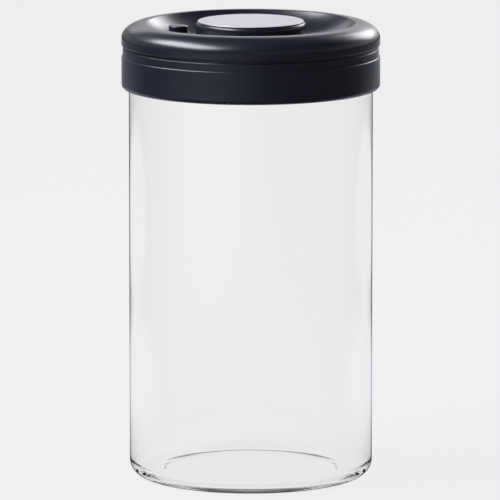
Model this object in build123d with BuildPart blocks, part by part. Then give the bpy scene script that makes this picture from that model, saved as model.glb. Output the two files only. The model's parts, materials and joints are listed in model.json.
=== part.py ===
from build123d import *
import os
from math import acos, cos, degrees, pi, sin, sqrt

# A straight glass storage jar with a press-to-pump vacuum lid, in millimetres.
# The origin is the centre of the jar's base, +Z is up, and the release button lies on the -X side.
# Pressing the large centre button draws air out of the jar, and the small button lets it back in.

# Jar
jar_outer_r = 50.0
jar_wall = 2.0
jar_height = 173.3
jar_floor = 3.0
jar_heel_r = 6.4
jar_inner_heel_r = 4.4
jar_rim_round = 0.8
punt_inset = 12.0
punt_slope = 3.0
punt_depth = 0.5

# Lid levels, from the glass rim upwards
lid_seat_gap = 0.2
gasket_flange = 1.4
chassis_flange = 2.0
ledge_thick = 1.7
side_height = 2.8
shoulder_rise = 6.2
dish_depth = 6.9

# Lid walls and radii
collar_gap = 0.9
collar_wall = 2.1
shoulder_width = 9.4
dish_ledge = 4.4
crest_flat = 0.8
cover_wall = 1.8
plug_gap = 2.8
plug_wall = 1.8
plug_depth = 12.0
plug_floor = 1.8

# Pump
button_gap = 0.35
button_stand = 7.7
plate_thick = 1.0
cap_top = 2.0
pump_travel = 7.0
cylinder_r = 18.0
cylinder_wall = 1.8
cylinder_gap = 1.2
cap_wall = 1.6
piston_floor_gap = 0.8
piston_disc = 3.2
piston_pocket = 6.9
piston_pocket_r = 10.0
piston_web = 1.6
pump_wire = 1.3
pump_turns = 4
pump_spring_gap = 0.85
spring_post_clear = 0.25
spring_post_wall = 0.7

# Release valve
knob_r = 3.9
knob_wall = 0.8
release_wire = 0.5
release_turns = 9
release_spring_gap = 0.35
release_seat_gap = 0.45
knob_to_button = 3.2
knob_stand = 2.8
knob_gap = 0.3
release_boss_r = 5.0
release_boss_height = 3.0
stem_r = 1.5
stem_gap = 0.1

# Fixings, with six screws and six snap hooks between them
fixing_count = 6
screw_boss_r = 2.8
screw_boss_sink = 1.2
screw_shank_r = 1.2
screw_hole_gap = 0.05
screw_length = 9.0
screw_head_r = 2.2
screw_head = 1.2

# Small values that serve every piece
overrun = 1.0
root = 0.5
near = 0.01
quarter_turn = 90
half_turn = 180
STAND = (Align.CENTER, Align.CENTER, Align.MIN)
HANG = (Align.CENTER, Align.CENTER, Align.MAX)
OUTWARD = (Align.MIN, Align.CENTER)

# Levels
gasket_z = jar_height + lid_seat_gap
flange_z = gasket_z + gasket_flange
ledge_z = flange_z + chassis_flange
seat_z = ledge_z + ledge_thick
shoulder_z = seat_z + side_height
rim_z = shoulder_z + shoulder_rise
dish_z = rim_z - dish_depth
dish_under_z = dish_z - cover_wall
plug_z = flange_z - plug_depth
plug_top_z = plug_z + plug_floor
button_top_z = dish_z + button_stand
cap_z = button_top_z - plate_thick
cap_under_z = cap_z - cap_top
piston_z = plug_top_z + pump_travel + piston_floor_gap
disc_top_z = piston_z + piston_disc
web_z = piston_z + piston_pocket
web_top_z = web_z + piston_web
release_boss_z = dish_z + release_boss_height
knob_z = release_boss_z + knob_stand

# Radii and places
mouth_r = jar_outer_r - jar_wall
punt_r = jar_outer_r - punt_inset
plug_r = mouth_r - plug_gap
collar_inner_r = jar_outer_r + collar_gap
collar_outer_r = collar_inner_r + collar_wall
rim_r = collar_outer_r - shoulder_width
plug_inner_r = plug_r - plug_wall
cylinder_outer_r = cylinder_r + cylinder_wall
button_r = cylinder_outer_r + cylinder_gap + cap_wall
dish_flat_r = button_r + dish_ledge
screw_circle_r = plug_inner_r + screw_boss_sink - screw_boss_r
screw_hole_r = screw_shank_r + screw_hole_gap
release_x = -(button_r + knob_to_button + knob_r)
pump_spring_r = piston_pocket_r - pump_spring_gap - pump_wire / 2
spring_post_outer_r = pump_spring_r - pump_wire / 2 - spring_post_clear
spring_post_inner_r = spring_post_outer_r - spring_post_wall
release_spring_r = knob_r - knob_wall - release_spring_gap - release_wire / 2
release_seat_bore_r = release_spring_r + release_wire / 2 + release_seat_gap
release_axis = Axis((release_x, 0, 0), (0, 0, 1))

# The screws and the hooks take turns, and the release button lies between two of them
screw_angle = quarter_turn / fixing_count
hook_angle = screw_angle + half_turn / fixing_count


def edges_at(level_z):
    """The edges of the piece being made that lie level at level_z."""
    return edges().filter_by_position(Axis.Z, level_z - near, level_z + near)


def ring_section(outer_r, inner_r, low_z):
    """A flat ring about the jar's axis, at the level low_z."""
    with BuildSketch(Plane.XY.offset(low_z)) as section:
        Circle(outer_r)
        Circle(inner_r, mode=Mode.SUBTRACT)
    return section.sketch


def spokes_section(low_z, inner_r, outer_r, width, count, start_angle):
    """Radial bars at the level low_z, spread evenly round the jar's axis."""
    with BuildSketch(Plane.XY.offset(low_z)) as section:
        with PolarLocations(inner_r, count, start_angle=start_angle):
            Rectangle(outer_r - inner_r, width, align=OUTWARD)
    return section.sketch


# Glass jar
with BuildPart() as glass_jar:
    Cylinder(jar_outer_r, jar_height, align=STAND)
    fillet(faces().sort_by(Axis.Z)[0].edges(), jar_heel_r)
    with Locations((0, 0, jar_floor)):
        Cylinder(mouth_r, jar_height, align=STAND, mode=Mode.SUBTRACT)
    fillet(edges_at(jar_floor), jar_inner_heel_r)
    fillet(faces().sort_by(Axis.Z)[-1].edges(), jar_rim_round)
    Cone(punt_r, punt_r - punt_slope, punt_depth, align=STAND, mode=Mode.SUBTRACT)


# Umbrella valves: a silicone head that lies over a ring of air ports, on a barbed stem
valve_head_gap = 0.3
valve_edge = 0.45
valve_crown = 1.0
valve_stem_r = 1.4
valve_stem_gap = 0.1
valve_bulb_r = 2.0
valve_bulb = 1.0
valve_slack = 0.1
port_r = 1.0
port_seat = 1.3
port_count = 6

valve_head_r = spring_post_inner_r - valve_head_gap
port_circle_r = valve_head_r - port_seat - port_r


def umbrella_valve(face_z, web):
    """A valve whose head lies on the upper face, at face_z, of a web of the given thickness."""
    grip_z = face_z - web - valve_slack
    with BuildPart() as valve:
        with BuildSketch(Plane.XZ):
            with BuildLine():
                TangentArc((0, face_z + valve_crown), (valve_head_r, face_z + valve_edge), tangent=(1, 0))
                Polyline(
                    (valve_head_r, face_z + valve_edge),
                    (valve_head_r, face_z),
                    (valve_stem_r, face_z),
                    (valve_stem_r, grip_z),
                    (valve_bulb_r, grip_z),
                    (valve_stem_r, grip_z - valve_bulb),
                    (0, grip_z - valve_bulb),
                    (0, face_z + valve_crown),
                )
            make_face()
        revolve(axis=Axis.Z)
    return valve


def valve_holes_section(low_z):
    """The hole for a valve's stem, with the air ports that its head covers."""
    with BuildSketch(Plane.XY.offset(low_z)) as section:
        Circle(valve_stem_r + valve_stem_gap)
        with PolarLocations(port_circle_r, port_count):
            Circle(port_r)
    return section.sketch


inlet_valve = umbrella_valve(plug_top_z, plug_floor)
outlet_valve = umbrella_valve(web_top_z, piston_web)


# Coil springs, as quarter turns of two tangent arcs each
spring_clear = 0.1
quarters = 4
samples = 24


def coil_point(mean_r, pitch, x, start_z, turn):
    """The wire's centre after some turns of a coil."""
    angle = 2 * pi * turn
    return Vector(x + mean_r * cos(angle), mean_r * sin(angle), start_z + pitch * turn)


def coil_direction(mean_r, pitch, turn):
    """The direction in which a coil runs after some turns."""
    angle = 2 * pi * turn
    return Vector(-mean_r * sin(angle), mean_r * cos(angle), pitch / (2 * pi)).normalized()


def least_gap(name, mean_r, pitch, x, start_z, turns, wire_d):
    """Prints the least gap between a coil's turns, measured on points half a turn or more apart."""
    points = [coil_point(mean_r, pitch, x, start_z, step / samples) for step in range(turns * samples + 1)]
    distances = [
        (points[j] - points[i]).length
        for i in range(len(points))
        for j in range(i + samples // 2, len(points))
    ]
    print(f"{name}: least gap to itself {min(distances) - wire_d:.2f} mm over {turns} turns")


def coil_spring(name, mean_r, wire_d, low_z, high_z, turns, x):
    """An open coil spring that stands between two faces."""
    start_z = low_z + spring_clear + wire_d / 2
    pitch = (high_z - low_z - 2 * spring_clear - wire_d) / turns
    least_gap(name, mean_r, pitch, x, start_z, turns, wire_d)
    with BuildPart() as spring:
        with BuildLine() as coil:
            for quarter in range(turns * quarters):
                turn, next_turn = quarter / quarters, (quarter + 1) / quarters
                start = coil_point(mean_r, pitch, x, start_z, turn)
                end = coil_point(mean_r, pitch, x, start_z, next_turn)
                leave = coil_direction(mean_r, pitch, turn)
                arrive = coil_direction(mean_r, pitch, next_turn)
                chord = end - start
                spread = 1 - leave.dot(arrive)
                along = chord.dot(leave + arrive)
                arm = (sqrt(along**2 + 2 * spread * chord.dot(chord)) - along) / (2 * spread)
                joint = (start + end + (leave - arrive) * arm) / 2
                TangentArc(start, joint, tangent=leave)
                TangentArc(joint, end, tangent=end - arrive * arm - start - leave * arm)
        path = coil.wires()[0]
        with BuildSketch(Plane(origin=path @ 0, z_dir=path % 0)):
            Circle(wire_d / 2)
        sweep(path=path)
    return spring


# Chassis: the plug that closes the mouth, with the pump cylinder, bosses and filter ring moulded in
chassis_side_gap = 0.3
toe_depth = 1.4
toe_lip = 1.1
cylinder_stand = 0.5
filter_bore_r = 11.0
filter_ring_wall = 1.5
filter_ring_depth = 3.9
mesh_ledge = 1.2
mesh_ledge_depth = 1.6
bead_groove = 0.35
bead_groove_height = 0.7
bead_groove_stand = 0.7
hook_groove = 0.8
hook_groove_height = 2.0
hook_groove_drop = 6.9
spring_post_height = 1.2
floor_rib_height = 2.8
floor_rib_width = 1.2
floor_rib_count = 12
release_seat_wall = 1.2
release_seat_height = 2.9
air_slot_reach = 2.7
air_slot_width = 1.0
air_slot_count = 3
stop_flange = 1.4
stop_clear = 0.4
sleeve_wall = 1.1
sleeve_gap = 0.3
guide_count = 3
guide_angle = 30
guide_width = 1.6
guide_reach = 1.0

flange_r = collar_inner_r - chassis_side_gap
toe_z = plug_z + toe_depth
toe_r = plug_r + toe_lip
cylinder_top_z = disc_top_z + cylinder_stand
filter_ring_r = filter_bore_r + filter_ring_wall
filter_ring_z = plug_z - filter_ring_depth
mesh_ledge_r = filter_bore_r - mesh_ledge
mesh_seat_z = plug_z - mesh_ledge_depth
bead_groove_z = filter_ring_z + bead_groove_stand
hook_groove_z = ledge_z - hook_groove_drop
rib_angle = half_turn / floor_rib_count
stop_r = button_r + stop_flange
sleeve_inner_r = stop_r + stop_clear
sleeve_r = sleeve_inner_r + sleeve_wall
sleeve_height = dish_under_z - sleeve_gap - plug_top_z
guide_r = sleeve_inner_r - guide_reach

with BuildPart() as lid_chassis:
    with BuildSketch(Plane.XZ):
        with BuildLine():
            Polyline(
                (0, plug_top_z),
                (cylinder_r, plug_top_z),
                (cylinder_r, cylinder_top_z),
                (cylinder_outer_r, cylinder_top_z),
                (cylinder_outer_r, plug_top_z),
                (plug_inner_r, plug_top_z),
                (plug_inner_r, ledge_z),
                (flange_r, ledge_z),
                (flange_r, flange_z),
                (plug_r, flange_z),
                (plug_r, toe_z),
                (toe_r, toe_z),
                (toe_r, plug_z),
                (filter_ring_r, plug_z),
                (filter_ring_r, filter_ring_z),
                (filter_bore_r, filter_ring_z),
                (filter_bore_r, mesh_seat_z),
                (mesh_ledge_r, mesh_seat_z),
                (mesh_ledge_r, plug_z),
                (0, plug_z),
                close=True,
            )
        make_face()
    revolve(axis=Axis.Z)
    # Grooves that the cover's hooks and the filter cap's bead snap into
    extrude(
        ring_section(plug_inner_r + hook_groove, plug_inner_r - overrun, hook_groove_z),
        amount=hook_groove_height,
        mode=Mode.SUBTRACT,
    )
    extrude(
        ring_section(filter_bore_r + bead_groove, filter_bore_r - overrun, bead_groove_z),
        amount=bead_groove_height,
        mode=Mode.SUBTRACT,
    )
    # Sleeve that guides the button, with ribs that keep it from turning
    extrude(ring_section(sleeve_r, sleeve_inner_r, plug_top_z), amount=sleeve_height)
    extrude(
        spokes_section(plug_top_z, guide_r, sleeve_inner_r + root, guide_width, guide_count, guide_angle),
        amount=sleeve_height,
    )
    # Ribs across the floor, and the posts that centre the two springs
    extrude(
        spokes_section(
            plug_top_z, cylinder_outer_r - root, plug_inner_r + root,
            floor_rib_width, floor_rib_count, rib_angle,
        ),
        amount=floor_rib_height,
    )
    extrude(ring_section(spring_post_outer_r, spring_post_inner_r, plug_top_z), amount=spring_post_height)
    with BuildSketch(Plane.XY.offset(plug_top_z)):
        with Locations((release_x, 0)):
            Circle(release_seat_bore_r + release_seat_wall)
            Circle(release_seat_bore_r, mode=Mode.SUBTRACT)
    extrude(amount=release_seat_height)
    # Blind screw bosses, so that no screw opens a way through the floor
    with BuildSketch(Plane.XY.offset(plug_top_z)):
        with PolarLocations(screw_circle_r, fixing_count, start_angle=screw_angle):
            Circle(screw_boss_r)
    extrude(amount=ledge_z - plug_top_z)
    with BuildSketch(Plane.XY.offset(seat_z - screw_length - overrun)):
        with PolarLocations(screw_circle_r, fixing_count, start_angle=screw_angle):
            Circle(screw_hole_r)
    extrude(amount=screw_length + overrun, mode=Mode.SUBTRACT)
    # The pump's inlet ports, and the release stem's guide with its air slots
    extrude(valve_holes_section(plug_z - overrun), amount=plug_floor + 2 * overrun, mode=Mode.SUBTRACT)
    with BuildSketch(Plane.XY.offset(plug_z - overrun)):
        with Locations((release_x, 0)):
            Circle(stem_r + stem_gap)
            with PolarLocations(0, air_slot_count):
                Rectangle(air_slot_reach, air_slot_width, align=OUTWARD)
    extrude(amount=plug_floor + 2 * overrun, mode=Mode.SUBTRACT)


# Gasket round the plug: a flange that lies on the glass rim, and fins that reach for the glass wall
gasket_flange_gap = 0.2
gasket_wall = 1.1
gasket_slip = 0.05
gasket_toe_gap = 0.1
fin_gap = 0.3
fin_root = 1.0
fin_tip = 0.35
fin_rise = 0.6
fin_pitch = 2.5
fin_count = 3
first_fin = 1.3

gasket_inner_r = plug_r + gasket_slip
gasket_wall_r = gasket_inner_r + gasket_wall
gasket_low_z = toe_z + gasket_toe_gap
fin_r = mouth_r - fin_gap

with BuildPart() as jar_gasket:
    with BuildSketch(Plane.XZ):
        with BuildLine():
            Polyline(
                (gasket_inner_r, gasket_low_z),
                (gasket_wall_r, gasket_low_z),
                (gasket_wall_r, gasket_z),
                (flange_r - gasket_flange_gap, gasket_z),
                (flange_r - gasket_flange_gap, flange_z),
                (gasket_inner_r, flange_z),
                close=True,
            )
        make_face()
        for fin in range(fin_count):
            fin_z = gasket_low_z + first_fin + fin * fin_pitch
            with BuildLine():
                Polyline(
                    (gasket_wall_r - root, fin_z - fin_root / 2),
                    (gasket_wall_r, fin_z - fin_root / 2),
                    (fin_r, fin_z + fin_rise - fin_tip / 2),
                    (fin_r, fin_z + fin_rise + fin_tip / 2),
                    (gasket_wall_r, fin_z + fin_root / 2),
                    (gasket_wall_r - root, fin_z + fin_root / 2),
                    close=True,
                )
            make_face()
    revolve(axis=Axis.Z)


# Collar: the skirt that hides the glass rim, its stepped neck, and the ledge that carries the chassis
collar_height = 17.9
groove_height = 4.4
neck_step_height = 3.3
neck_step = 0.5
neck_inset = 1.1
collar_edge_land = 0.2
collar_top_chamfer = 0.3
ear_wall = 0.4

collar_z = seat_z - collar_height
skirt_top_z = seat_z - groove_height
neck_step_z = skirt_top_z + neck_step_height
neck_r = collar_outer_r - neck_inset
neck_step_r = collar_outer_r - neck_step
ledge_inner_r = plug_r + gasket_slip
ear_r = screw_boss_r + ear_wall
collar_edge_round = collar_wall - collar_edge_land

with BuildPart() as lid_collar:
    with BuildSketch(Plane.XZ):
        with BuildLine():
            Polyline(
                (collar_inner_r, collar_z),
                (collar_outer_r, collar_z),
                (collar_outer_r, skirt_top_z),
                (neck_step_r, skirt_top_z),
                (neck_step_r, neck_step_z),
                (neck_r, neck_step_z),
                (neck_r, seat_z),
                (ledge_inner_r, seat_z),
                (ledge_inner_r, ledge_z),
                (collar_inner_r, ledge_z),
                close=True,
            )
        make_face()
    revolve(axis=Axis.Z)
    fillet(edges_at(collar_z).sort_by(SortBy.RADIUS)[-1], collar_edge_round)
    chamfer(edges_at(skirt_top_z).sort_by(SortBy.RADIUS)[-1], collar_top_chamfer)
    # Ears that reach in over the chassis's screw bosses
    with BuildSketch(Plane.XY.offset(ledge_z)):
        with PolarLocations(screw_circle_r, fixing_count, start_angle=screw_angle):
            Circle(ear_r)
            Rectangle(ledge_inner_r + root - screw_circle_r, 2 * ear_r, align=OUTWARD)
    extrude(amount=ledge_thick)
    with BuildSketch(Plane.XY.offset(ledge_z - overrun)):
        with PolarLocations(screw_circle_r, fixing_count, start_angle=screw_angle):
            Circle(screw_hole_r)
    extrude(amount=ledge_thick + 2 * overrun, mode=Mode.SUBTRACT)


# Screws that hold the collar to the chassis, with a cross recess
recess_width = 0.6
recess_length = 2.6
recess_depth = 0.8

with BuildPart() as collar_screws:
    with BuildSketch(Plane.XY.offset(seat_z)):
        with PolarLocations(screw_circle_r, fixing_count, start_angle=screw_angle):
            Circle(screw_head_r)
    extrude(amount=screw_head)
    with BuildSketch(Plane.XY.offset(seat_z)):
        with PolarLocations(screw_circle_r, fixing_count, start_angle=screw_angle):
            Circle(screw_shank_r)
    extrude(amount=-screw_length)
    with BuildSketch(Plane.XY.offset(seat_z + screw_head)):
        with PolarLocations(screw_circle_r, fixing_count, start_angle=screw_angle):
            Rectangle(recess_length, recess_width)
            Rectangle(recess_width, recess_length)
    extrude(amount=-recess_depth, mode=Mode.SUBTRACT)


# Cover: the domed top with its dished centre, release boss and snap hooks
crest_round = 0.7
lip_chamfer = 0.4
boss_round = 0.4
hook_width = 7.0
hook_wall = 1.2
hook_clear = 0.3
hook_tooth = 0.8
hook_tooth_clear = 0.2
hook_foot = 0.9
hook_root_drop = 2.4

button_hole_r = button_r + button_gap
hook_r = plug_inner_r - hook_clear
hook_tooth_z = hook_groove_z + hook_tooth_clear
hook_z = hook_tooth_z - hook_foot
hook_tooth_top_z = hook_groove_z + hook_groove_height - hook_tooth_clear
dish_mouth_r = rim_r - crest_flat
dish_sweep_r = ((dish_mouth_r - dish_flat_r) ** 2 + dish_depth**2) / (2 * dish_depth)


def dome_section(inset):
    """Half of the dome's section: straight side, elliptical shoulder and flat top."""
    side_r = collar_outer_r - inset
    with BuildSketch(Plane.XZ) as section:
        with BuildLine():
            Polyline((0, rim_z - inset), (0, seat_z), (side_r, seat_z), (side_r, shoulder_z))
            EllipticalCenterArc(
                (rim_r, shoulder_z),
                shoulder_width - inset,
                shoulder_rise - inset,
                start_angle=0,
                arc_size=quarter_turn,
            )
            Line((rim_r, rim_z - inset), (0, rim_z - inset))
        make_face()
    return section.sketch


def bowl_section(outset, top_z):
    """Half of the dish's section up to top_z: a flat centre that sweeps up to the crest."""
    centre_z = dish_z + dish_sweep_r
    sweep_r = dish_sweep_r + outset
    sweep_angle = degrees(acos((centre_z - top_z) / sweep_r))
    centre = (dish_flat_r, centre_z)
    with BuildSketch(Plane.XZ) as section:
        with BuildLine():
            rise = CenterArc(centre, sweep_r, start_angle=-quarter_turn, arc_size=sweep_angle)
            Polyline(rise @ 1, (0, top_z), (0, dish_z - outset), rise @ 0)
        make_face()
    return section.sketch


with BuildPart() as top_cover:
    revolve(dome_section(0), axis=Axis.Z)
    revolve(dome_section(cover_wall), axis=Axis.Z, mode=Mode.SUBTRACT)
    revolve(bowl_section(cover_wall, rim_z - cover_wall / 2), axis=Axis.Z)
    revolve(bowl_section(0, rim_z), axis=Axis.Z, mode=Mode.SUBTRACT)
    fillet(edges_at(rim_z).sort_by(SortBy.RADIUS)[0], crest_round)
    chamfer(edges_at(seat_z).sort_by(SortBy.RADIUS)[-1], lip_chamfer)
    # Boss round the release button, and the holes for both buttons
    with BuildSketch(Plane.XY.offset(dish_z - root)):
        with Locations((release_x, 0)):
            Circle(release_boss_r)
    extrude(amount=release_boss_height + root)
    fillet(edges_at(release_boss_z).sort_by(SortBy.RADIUS)[-1], boss_round)
    with BuildSketch(Plane.XY.offset(dish_under_z - overrun)):
        Circle(button_hole_r)
        with Locations((release_x, 0)):
            Circle(knob_r + knob_gap)
    extrude(amount=rim_z - dish_under_z + overrun, mode=Mode.SUBTRACT)
    # Snap hooks whose teeth catch in the chassis's groove
    extrude(
        spokes_section(hook_z, hook_r - hook_wall, hook_r, hook_width, fixing_count, hook_angle),
        amount=rim_z - hook_root_drop - hook_z,
    )
    extrude(
        spokes_section(
            hook_tooth_z, hook_r - root, hook_r + hook_tooth, hook_width, fixing_count, hook_angle
        ),
        amount=hook_groove_height - 2 * hook_tooth_clear,
    )


# Pump button: a cap with a stop flange under the cover, ribbed below and screwed to the piston
stop_thick = 1.5
cap_edge_round = 0.6
stop_gap = 0.3
notch_clear = 0.3
post_count = 3
post_r = 2.4
post_edge = 0.7
piston_gap = 0.3
cap_screw_r = 1.0
cap_screw_gap = 0.05
cap_screw_head_r = 2.0
cap_screw_length = 7.0
cap_screw_sink = 0.1
cap_rib_count = 6
cap_rib_height = 1.6
cap_rib_width = 1.0
cap_rib_clear = 0.4
peg_r = 0.9
peg_gap = 0.05
peg_inset = 4.6
peg_length = 1.2

cap_skirt_r = button_r - cap_wall
stop_top_z = dish_under_z - stop_gap
stop_z = stop_top_z - stop_thick
piston_r = cylinder_r - piston_gap
post_circle_r = piston_r - post_edge - post_r
peg_circle_r = button_r - peg_inset
peg_angle = half_turn / post_count
cap_rib_angle = half_turn / cap_rib_count

with BuildPart() as button_cap:
    with BuildSketch(Plane.XZ):
        with BuildLine():
            Polyline(
                (0, cap_z),
                (button_r, cap_z),
                (button_r, stop_top_z),
                (stop_r, stop_top_z),
                (stop_r, stop_z),
                (cap_skirt_r, stop_z),
                (cap_skirt_r, cap_under_z),
                (0, cap_under_z),
                close=True,
            )
        make_face()
    revolve(axis=Axis.Z)
    fillet(edges_at(cap_z), cap_edge_round)
    extrude(
        spokes_section(
            stop_z - overrun, guide_r - notch_clear, stop_r + overrun,
            guide_width + 2 * notch_clear, guide_count, guide_angle,
        ),
        amount=stop_thick + 2 * overrun,
        mode=Mode.SUBTRACT,
    )
    extrude(
        spokes_section(
            cap_under_z - cap_rib_height, valve_head_r + cap_rib_clear, cylinder_r - stop_clear,
            cap_rib_width, cap_rib_count, cap_rib_angle,
        ),
        amount=cap_rib_height + root,
    )
    with Locations(Plane.XY.offset(cap_z)):
        with PolarLocations(post_circle_r, post_count):
            CounterSinkHole(
                cap_screw_r + cap_screw_gap,
                cap_screw_head_r + cap_screw_gap,
                cap_top + overrun,
                counter_sink_angle=quarter_turn,
            )
        with PolarLocations(peg_circle_r, post_count, start_angle=peg_angle):
            Hole(peg_r + peg_gap, peg_length + peg_gap)


# Bright disc on the button, held by three pegs
plate_chamfer = 0.3
plate_inset = 0.15

with BuildPart() as button_plate:
    with BuildSketch(Plane.XY.offset(cap_z)):
        Circle(button_r - plate_inset)
    extrude(amount=plate_thick)
    chamfer(edges().sort_by(Axis.Z)[-1], plate_chamfer)
    with BuildSketch(Plane.XY.offset(cap_z)):
        with PolarLocations(peg_circle_r, post_count, start_angle=peg_angle):
            Circle(peg_r)
    extrude(amount=-peg_length)


# Piston: a disc with a groove for its seal, a raised valve seat over the spring, and screw posts
seal_land = 0.8
seal_groove = 1.7
seal_depth = 1.7
hat_wall = 1.6

seal_groove_r = piston_r - seal_depth
seal_groove_z = piston_z + seal_land
hat_r = piston_pocket_r + hat_wall

with BuildPart() as piston:
    with BuildSketch(Plane.XZ):
        with BuildLine():
            Polyline(
                (0, web_top_z),
                (hat_r, web_top_z),
                (hat_r, disc_top_z),
                (piston_r, disc_top_z),
                (piston_r, seal_groove_z + seal_groove),
                (seal_groove_r, seal_groove_z + seal_groove),
                (seal_groove_r, seal_groove_z),
                (piston_r, seal_groove_z),
                (piston_r, piston_z),
                (piston_pocket_r, piston_z),
                (piston_pocket_r, web_z),
                (0, web_z),
                close=True,
            )
        make_face()
    revolve(axis=Axis.Z)
    with BuildSketch(Plane.XY.offset(disc_top_z)):
        with PolarLocations(post_circle_r, post_count):
            Circle(post_r)
    extrude(amount=cap_under_z - disc_top_z)
    extrude(valve_holes_section(web_z - overrun), amount=piston_web + 2 * overrun, mode=Mode.SUBTRACT)
    with Locations(Plane.XY.offset(cap_under_z)):
        with PolarLocations(post_circle_r, post_count):
            Hole(cap_screw_r + cap_screw_gap, cap_screw_length)


# Piston seal: a lip ring that slides in the cylinder
seal_slip = 0.05
seal_back = 0.45
seal_lip = 0.4
seal_notch = 0.9
seal_leg = 0.6

seal_inner_r = seal_groove_r + seal_slip
seal_low_z = seal_groove_z + seal_slip
seal_top_z = seal_groove_z + seal_groove - seal_slip
seal_r = cylinder_r - seal_slip

with BuildPart() as piston_seal:
    with BuildSketch(Plane.XZ):
        with BuildLine():
            Polyline(
                (seal_inner_r, seal_top_z),
                (seal_r - seal_back, seal_top_z),
                (seal_r, seal_low_z + seal_lip),
                (seal_r - seal_lip, seal_low_z),
                (seal_r - seal_notch, seal_low_z + seal_notch),
                (seal_inner_r + seal_leg, seal_low_z),
                (seal_inner_r, seal_low_z),
                close=True,
            )
        make_face()
    revolve(axis=Axis.Z)


# Countersunk screws that hold the cap to the piston's posts
screw_head_top_r = cap_screw_head_r - cap_screw_sink

with BuildPart() as cap_screws:
    with Locations(Plane.XY.offset(cap_z - cap_screw_sink)):
        with PolarLocations(post_circle_r, post_count):
            Cone(cap_screw_r, screw_head_top_r, screw_head_top_r - cap_screw_r, align=HANG)
            Cylinder(cap_screw_r, cap_top - cap_screw_sink + cap_screw_length - root, align=HANG)
            Box(recess_length, recess_width, recess_depth, align=HANG, mode=Mode.SUBTRACT)
            Box(recess_width, recess_length, recess_depth, align=HANG, mode=Mode.SUBTRACT)


# Springs that lift the pump button and the release button
knob_roof = 1.6

knob_hollow_z = knob_z - knob_roof

pump_spring = coil_spring("pump_spring", pump_spring_r, pump_wire, plug_top_z, web_z, pump_turns, 0)
release_spring = coil_spring(
    "release_spring", release_spring_r, release_wire, plug_top_z, knob_hollow_z, release_turns, release_x
)


# Release button: a hollow knob over its spring, on a stem that runs down through the chassis
knob_edge_round = 0.4
knob_skirt = 7.0
stem_foot = 0.8
clip_thick = 0.6
clip_depth = 0.4
seal_head = 1.0

knob_low_z = knob_z - knob_skirt
clip_top_z = plug_z - seal_head
clip_low_z = clip_top_z - clip_thick
stem_low_z = clip_low_z - stem_foot
clip_neck_r = stem_r - clip_depth

with BuildPart() as release_button:
    with BuildSketch(Plane.XZ.move(Location((release_x, 0, 0)))):
        with BuildLine():
            Polyline(
                (0, knob_z),
                (knob_r, knob_z),
                (knob_r, knob_low_z),
                (knob_r - knob_wall, knob_low_z),
                (knob_r - knob_wall, knob_hollow_z),
                (stem_r, knob_hollow_z),
                (stem_r, clip_top_z),
                (clip_neck_r, clip_top_z),
                (clip_neck_r, clip_low_z),
                (stem_r, clip_low_z),
                (stem_r, stem_low_z),
                (0, stem_low_z),
                close=True,
            )
        make_face()
    revolve(axis=release_axis)
    fillet(edges_at(knob_z), knob_edge_round)


# Release seal: a soft disc that closes the air slots from below, and the clip that holds it
seal_reach = 0.9
seal_taper = 0.4
clip_gap = 0.05
clip_rim = 1.1

seal_disc_r = air_slot_reach + seal_reach
clip_r = stem_r + clip_rim

with BuildPart() as release_seal:
    with BuildSketch(Plane.XZ.move(Location((release_x, 0, 0)))):
        with BuildLine():
            Polyline(
                (stem_r + clip_gap, plug_z),
                (seal_disc_r, plug_z),
                (seal_disc_r, plug_z - seal_taper),
                (clip_r, clip_top_z),
                (stem_r + clip_gap, clip_top_z),
                close=True,
            )
        make_face()
    revolve(axis=release_axis)

with BuildPart() as release_clip:
    with BuildSketch(Plane.XY.offset(clip_low_z)):
        with Locations((release_x, 0)):
            Circle(clip_r)
            Circle(clip_neck_r + clip_gap, mode=Mode.SUBTRACT)
            Rectangle(clip_r + overrun, 2 * clip_neck_r, align=OUTWARD, mode=Mode.SUBTRACT)
    extrude(amount=clip_thick)


# Filter: a mesh disc under the inlet ports, held by a cap that snaps into the chassis's ring
mesh_thick = 0.4
mesh_hole_r = 0.8
mesh_rings = 3
mesh_rim = 1.7
filter_slip = 0.1
cap_flange_thick = 0.8
filter_cap_wall = 1.4
filter_bead = 0.2
bead_clear = 0.1
filter_hub_r = 2.2
filter_spoke_width = 1.4
filter_spoke_count = 6

filter_r = filter_bore_r - filter_slip
mesh_z = mesh_seat_z - mesh_thick
filter_cap_z = filter_ring_z - cap_flange_thick
filter_open_r = filter_r - filter_cap_wall
mesh_ring_pitch = (filter_open_r - mesh_rim) / mesh_rings

with BuildPart() as filter_mesh:
    with BuildSketch(Plane.XY.offset(mesh_z)):
        Circle(filter_r)
        Circle(mesh_hole_r, mode=Mode.SUBTRACT)
        for mesh_ring in range(1, mesh_rings + 1):
            with PolarLocations(mesh_ring * mesh_ring_pitch, filter_spoke_count * mesh_ring):
                Circle(mesh_hole_r, mode=Mode.SUBTRACT)
    extrude(amount=mesh_thick)

with BuildPart() as filter_cap:
    with BuildSketch(Plane.XZ):
        with BuildLine():
            Polyline(
                (filter_open_r, filter_cap_z),
                (filter_ring_r, filter_cap_z),
                (filter_ring_r, filter_ring_z),
                (filter_r, filter_ring_z),
                (filter_r, bead_groove_z + bead_clear),
                (filter_r + filter_bead, bead_groove_z + bead_groove_height / 2),
                (filter_r, bead_groove_z + bead_groove_height - bead_clear),
                (filter_r, mesh_z),
                (filter_open_r, mesh_z),
                close=True,
            )
        make_face()
    revolve(axis=Axis.Z)
    with BuildSketch(Plane.XY.offset(filter_cap_z)):
        Circle(filter_hub_r)
        with PolarLocations(0, filter_spoke_count):
            Rectangle(filter_open_r + root, filter_spoke_width, align=OUTWARD)
    extrude(amount=cap_flange_thick)


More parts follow.
